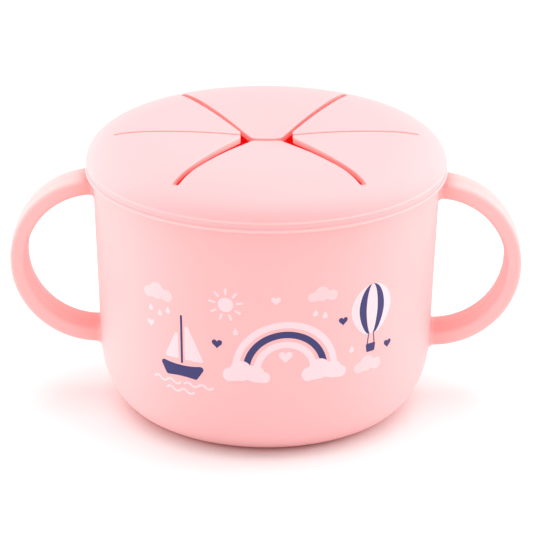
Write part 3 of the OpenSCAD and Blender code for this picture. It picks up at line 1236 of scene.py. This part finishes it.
@dataclass
class Print:
    """A printed picture of common nursery motifs on the front of the cup.

    It is laid out in millimetres, as an arc length from the middle of the front and a height, and
    then wrapped round the wall. Each shape is a thin closed film, sunk a little into the wall.
    """

    cup: Cup
    proud: float = 0.04 * MM
    layer_step: float = 0.02 * MM
    sunk: float = 0.03 * MM
    middle_z: float = 33.0 * MM
    pitch: float = 0.8

    def rainbow(self) -> list[Shape]:
        """A rainbow that ends in two clouds."""
        x, y = 5.5, 25.0
        shapes = []
        for radius, ink in ((13.0, Ink.PALE), (10.4, Ink.NAVY), (7.8, Ink.PALE)):
            shapes.append(Shape(np.vstack([arc((x, y), (radius, radius), 0, 180, 48),
                                           arc((x, y), (radius - 1.7, radius - 1.7), 180, 0, 48)]), ink))
        for side in (-1, 1):
            shapes.append(Shape(puffs(x + side * 9.6, y - 3.2, [
                (-3.8, 1.9, 1.9), (-1.2, 3.1, 2.7), (2.2, 2.5, 2.3), (4.4, 1.5, 1.5)]), Ink.PALE, 1))
        return shapes

    def boat(self) -> list[Shape]:
        """A sailing boat on small waves."""
        x, y = -20.5, 24.6
        shapes = [
            Shape(rounded([(x - 6.4, y), (x - 4.4, y - 3.6), (x + 4.0, y - 3.6), (x + 6.4, y)], 0.7), Ink.NAVY),
            Shape(stroke([(x, y + 0.4), (x, y + 6), (x, y + 12.6)], 0.55), Ink.NAVY),
            Shape(rounded([(x + 0.9, y + 1.2), (x + 6.0, y + 1.2), (x + 0.9, y + 11.8)], 0.5), Ink.PALE),
            Shape(rounded([(x - 0.9, y + 9.8), (x - 4.9, y + 1.2), (x - 0.9, y + 1.2)], 0.5), Ink.PALE)]
        run = np.linspace(0, 1, 25)
        for start, low, length in ((-8.2, -5.2, 7.6), (0.6, -5.2, 7.6), (-4.4, -7.2, 7.6)):
            shapes.append(Shape(stroke(np.column_stack((
                x + start + run * length, y + low + 0.45 * np.sin(run * 4 * math.pi))), 0.6), Ink.PALE))
        return shapes

    def balloon(self) -> list[Shape]:
        """A hot-air balloon with a striped envelope."""
        x, y = 28.0, 38.5
        t = np.linspace(-0.5 * math.pi, 0.5 * math.pi, 22)
        level = np.sin(t)
        half = 5.6 * np.cos(t) * (1 - 0.28 * np.clip(-level, 0, 1) ** 1.5) + 0.9 * (1 - level) / 2
        height = y + 6.2 * level - 0.8 * np.clip(-level, 0, 1)
        half[-1] = 0.02
        shapes = [Shape(np.column_stack((np.concatenate([x + half, (x - half)[::-1]]),
                                         np.concatenate([height, height[::-1]]))), Ink.PALE)]
        for inner, outer in ((-0.62, -0.28), (0.28, 0.62)):
            stripe = slice(1, -1)
            shapes.append(Shape(np.column_stack((
                np.concatenate([x + half[stripe] * outer, (x + half[stripe] * inner)[::-1]]),
                np.concatenate([height[stripe], height[stripe][::-1]]))), Ink.NAVY, 1))
        low = float(height[0])
        for side in (-1, 1):
            shapes.append(Shape(stroke([(x + side * 0.75, low - 0.1), (x + side * 0.9, low - 1.3),
                                        (x + side * 1.05, low - 2.5)], 0.28), Ink.NAVY))
        shapes.append(Shape(rounded([(x - 1.5, low - 2.6), (x - 1.2, low - 4.8),
                                     (x + 1.2, low - 4.8), (x + 1.5, low - 2.6)], 0.35), Ink.NAVY))
        return shapes

    def sun(self) -> list[Shape]:
        """A small sun with rays."""
        x, y = -9.0, 42.0
        shapes = [Shape(disc(x, y, 1.9), Ink.PALE)]
        for turn in range(0, 360, 40):
            near, far = (np.array([x, y]) + direction(turn + 10) * r for r in (2.8, 4.0))
            shapes.append(Shape(stroke([near, (near + far) / 2, far], 0.6), Ink.PALE))
        return shapes

    def sky(self) -> list[Shape]:
        """Small clouds, hearts and raindrops between the rest."""
        shapes = [Shape(puffs(x, y, [(-2.6 * k, 1.3 * k, 1.3 * k), (-0.4 * k, 2.0 * k, 1.9 * k),
                                     (2.2 * k, 1.4 * k, 1.4 * k)]), Ink.FAINT)
                  for x, y, k in ((-27.0, 40.0, 1.15), (14.5, 42.6, 1.0), (27.5, 21.6, 1.1))]
        shapes += [Shape(heart(x, y, size), ink) for x, y, size, ink in (
            (-11.2, 31.6, 2.6, Ink.NAVY), (5.5, 28.8, 3.4, Ink.PALE), (19.8, 36.6, 2.4, Ink.NAVY),
            (-29.6, 33.4, 2.2, Ink.PALE), (3.0, 43.6, 2.4, Ink.PALE), (33.6, 27.4, 2.4, Ink.NAVY))]
        shapes += [Shape(drop(x, y, 1.9), Ink.PALE) for x, y in (
            (-29.4, 37.6), (-26.6, 36.8), (-24.2, 38.0), (12.6, 39.8), (15.0, 39.0), (22.4, 28.6), (-6.6, 35.2))]
        return shapes

    def wrapped(self, plan: np.ndarray, lift: float) -> np.ndarray:
        """Wraps points of the picture round the wall.

        Args:
            plan: arc lengths and heights in millimetres.
            lift: distance out of the wall in metres.

        Returns:
            Points in space.
        """
        height = plan[:, 1] * MM
        turn = plan[:, 0] * MM / float(self.cup.outside(self.middle_z))
        radius = self.cup.outside(height) + lift
        return np.column_stack((radius * np.sin(turn), -radius * np.cos(turn), height))

    def build(self, inks: list) -> None:
        """Makes the printed pieces.

        Args:
            inks: a finish for each ink, in the order of Ink.
        """
        motifs = {"rainbow": self.rainbow(), "boat": self.boat(), "balloon": self.balloon(),
                  "sun": self.sun(), "sky": self.sky()}
        for name, shapes in motifs.items():
            draft = Draft()
            for shape in shapes:
                plan, triangles = fill_plan(shape.outline * MM, None, self.pitch * MM, 0.3 * self.pitch * MM)
                rim = len(shape.outline)
                lift = self.proud + shape.layer * self.layer_step
                top, under = (draft.add(self.wrapped(plan / MM, out)) for out in (lift, -self.sunk))
                for corners in triangles:
                    draft.face(top[corners], shape.ink)
                    draft.face(under[corners], shape.ink)
                draft.strip(top[:rim], under[:rim], closed=True, paint=shape.ink)
            piece = draft.build("print_" + name, inks, crease=40)
            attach(piece, Body.CUP.value)


@dataclass
class Studio:
    """A white floor, soft light from above and both sides, and the camera."""

    distance: float = 708.753 * MM
    elevation: float = 22.262
    azimuth: float = 0.7
    roll: float = 0.41
    target: tuple = (0.192 * MM, 0.0, 34.947 * MM)
    focal_pixels: float = 2809.645
    sensor: float = 36.0
    sky: float = 0.68
    floor_size: float = 3.0
    shadow_reach: tuple = (0.13, 0.32)

    def seen(self, tree: bpy.types.NodeTree) -> bpy.types.NodeSocket:
        """Adds the nodes that tell a ray from the camera, a reflection or a clear part.

        Args:
            tree: the tree that gets the nodes.

        Returns:
            A socket that is 1 for such rays and 0 for light.
        """
        path = add_node(tree, "ShaderNodeLightPath")
        both = add_node(tree, "ShaderNodeMath", {"operation": "MAXIMUM"},
                        i0=path.outputs["Is Camera Ray"], i1=path.outputs["Is Glossy Ray"])
        return add_node(tree, "ShaderNodeMath", {"operation": "MAXIMUM"}, i0=both.outputs[0],
                        i1=path.outputs["Is Transmission Ray"]).outputs[0]

    def world(self) -> None:
        """Makes the white surroundings."""
        world = bpy.data.worlds.new("studio_white")
        bpy.context.scene.world = world
        world.use_nodes = True
        tree = world.node_tree
        tree.nodes.clear()
        strength = add_node(tree, "ShaderNodeMapRange", Value=self.seen(tree),
                            To_Min=self.sky, To_Max=1.0)
        light = add_node(tree, "ShaderNodeBackground", Color=(1.0, 1.0, 1.0, 1.0),
                         Strength=strength.outputs["Result"])
        add_node(tree, "ShaderNodeOutputWorld", Surface=light.outputs["Background"])

    def floor(self) -> None:
        """Makes the white floor. It keeps the cup's shadow, and is plain white further out."""
        material = bpy.data.materials.new("white_paper")
        material.use_nodes = True
        tree = material.node_tree
        tree.nodes.clear()
        place = add_node(tree, "ShaderNodeTexCoord").outputs["Object"]
        away = add_node(tree, "ShaderNodeVectorMath", {"operation": "LENGTH"}, i0=place)
        fade = add_node(tree, "ShaderNodeMapRange", {"interpolation_type": "SMOOTHSTEP"},
                        Value=away.outputs["Value"], From_Min=self.shadow_reach[0],
                        From_Max=self.shadow_reach[1])
        share = add_node(tree, "ShaderNodeMath", {"operation": "MULTIPLY"},
                         i0=fade.outputs["Result"], i1=self.seen(tree))
        paper = add_node(tree, "ShaderNodeBsdfDiffuse", Color=(0.95, 0.95, 0.95, 1.0))
        white = add_node(tree, "ShaderNodeEmission", Color=(1.0, 1.0, 1.0, 1.0), Strength=1.0)
        mixed = add_node(tree, "ShaderNodeMixShader", i0=share.outputs[0],
                         i1=paper.outputs["BSDF"], i2=white.outputs["Emission"])
        add_node(tree, "ShaderNodeOutputMaterial", Surface=mixed.outputs["Shader"])
        half = self.floor_size / 2
        mesh = bpy.data.meshes.new("floor")
        mesh.from_pydata([(-half, -half, 0), (half, -half, 0), (half, half, 0), (-half, half, 0)],
                         [], [(0, 1, 2, 3)])
        mesh.materials.append(material)
        made = bpy.data.objects.new("floor", mesh)
        bpy.context.scene.collection.objects.link(made)

    def lamp(self, name: str, place: tuple, size: tuple, power: float, gloss: bool) -> None:
        """Adds a rectangular soft light that faces the cup.

        Args:
            name: the lamp's name.
            place: where it hangs.
            size: its width and height.
            power: its power in watts.
            gloss: whether it shows in reflections.
        """
        light = bpy.data.lights.new(name, "AREA")
        light.shape = "RECTANGLE"
        light.size, light.size_y = size
        light.energy = power
        made = bpy.data.objects.new(name, light)
        made.location = place
        made.rotation_mode = "QUATERNION"
        made.rotation_quaternion = (Vector((0, 0, 0.035)) - Vector(place)).to_track_quat("-Z", "Y")
        made.visible_camera = False
        made.visible_glossy = gloss
        bpy.context.scene.collection.objects.link(made)

    def camera(self) -> None:
        """Makes the camera at the photograph's viewing angle."""
        e, a, r = (math.radians(v) for v in (self.elevation, self.azimuth, self.roll))
        look = Vector((-math.sin(a) * math.cos(e), math.cos(a) * math.cos(e), -math.sin(e)))
        right = Vector((math.cos(a), math.sin(a), 0))
        up = right.cross(look)
        data = bpy.data.cameras.new("camera")
        data.sensor_width = self.sensor
        data.lens = self.focal_pixels * self.sensor / IMAGE_PIXELS
        made = bpy.data.objects.new("camera", data)
        turned_right = right * math.cos(r) + up * math.sin(r)
        turned_up = up * math.cos(r) - right * math.sin(r)
        matrix = Matrix((turned_right, turned_up, -look)).transposed().to_4x4()
        matrix.translation = Vector(self.target) - look * self.distance
        made.matrix_world = matrix
        bpy.context.scene.collection.objects.link(made)
        bpy.context.scene.camera = made

    def build(self) -> None:
        """Makes the whole studio."""
        bpy.context.scene.view_settings.view_transform = "Standard"
        self.world()
        self.floor()
        self.lamp("top_light", (0.0, 0.05, 1.1), (1.0, 1.0), 8.5, True)
        self.lamp("left_light", (-0.87, 0.28, 0.07), (0.7, 0.12), 5.5, False)
        self.lamp("right_light", (0.87, 0.28, 0.12), (0.7, 0.7), 7.7, False)
        self.lamp("front_light", (0.0, -0.9, 0.06), (0.7, 0.12), 0.5, False)
        self.camera()


def main() -> None:
    """Builds the container's looks round the frame."""
    logging.basicConfig(level=logging.INFO, format="%(message)s")
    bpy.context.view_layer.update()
    # Each MouldedSilicone mixes its colour towards the second colour given, a painted shade, where near surfaces
    # block the sky.
    cup_finish = MouldedSilicone("silicone_moulded_cup", "#FDBCBC", "#F8837C").make()
    # The handle's painted shade reaches 14 mm, so it darkens the strap's inner faces.
    handle_finish = MouldedSilicone("silicone_moulded_handle", "#FDBDBB", "#F8837C", reach=14 * MM,
                                    open_above=0.93).make()
    # The cup's inside: painted shade and a painted red glow, strongest where the lid blocks the sky.
    inside_painted_glow = MouldedSilicone("silicone_inside_painted_glow", "#FDBCBC", "#F8605A", reach=100 * MM,
                                  shut_below=0.02, open_above=0.3, painted_glow_shut=0.72,
                                  painted_glow_open=0.2).make()
    lid_finishes = [
        MouldedSilicone("silicone_moulded_lid", "#FDBCBE", "#F8837C").make(),
        # The walls of cuts: a paler base that lightens them as painted light, a deep red painted shade and a
        # strong painted glow.
        MouldedSilicone("silicone_cut_wall_painted_glow", "#FDCECA", "#F04A40", shut_below=0.05, open_above=0.5,
                        painted_glow_shut=0.8, painted_glow_open=0.14).make(),
        # A paler copy of the lid's silicone, a painted highlight on edges and beads.
        MouldedSilicone("silicone_painted_highlight", "#FDC6C6", "#F8837C").make()]
    cup = Cup()
    cup.build(cup_finish, inside_painted_glow)
    for side in (-1, 1):
        Handle(cup, side).build(handle_finish)
    Print(cup).build([SiliconeInk("silicone_ink_pale", "#F8D9DE").make(),
                      SiliconeInk("silicone_ink_navy", "#3B376E").make(),
                      SiliconeInk("silicone_ink_faint", "#F9D0D3").make()])
    shape = LidShape(cup)
    LidRim(shape).build(lid_finishes)
    for flap in shape.flaps():
        LidFlap(shape, flap).build(lid_finishes)
    Studio().build()


if __name__ == "__main__":
    main()
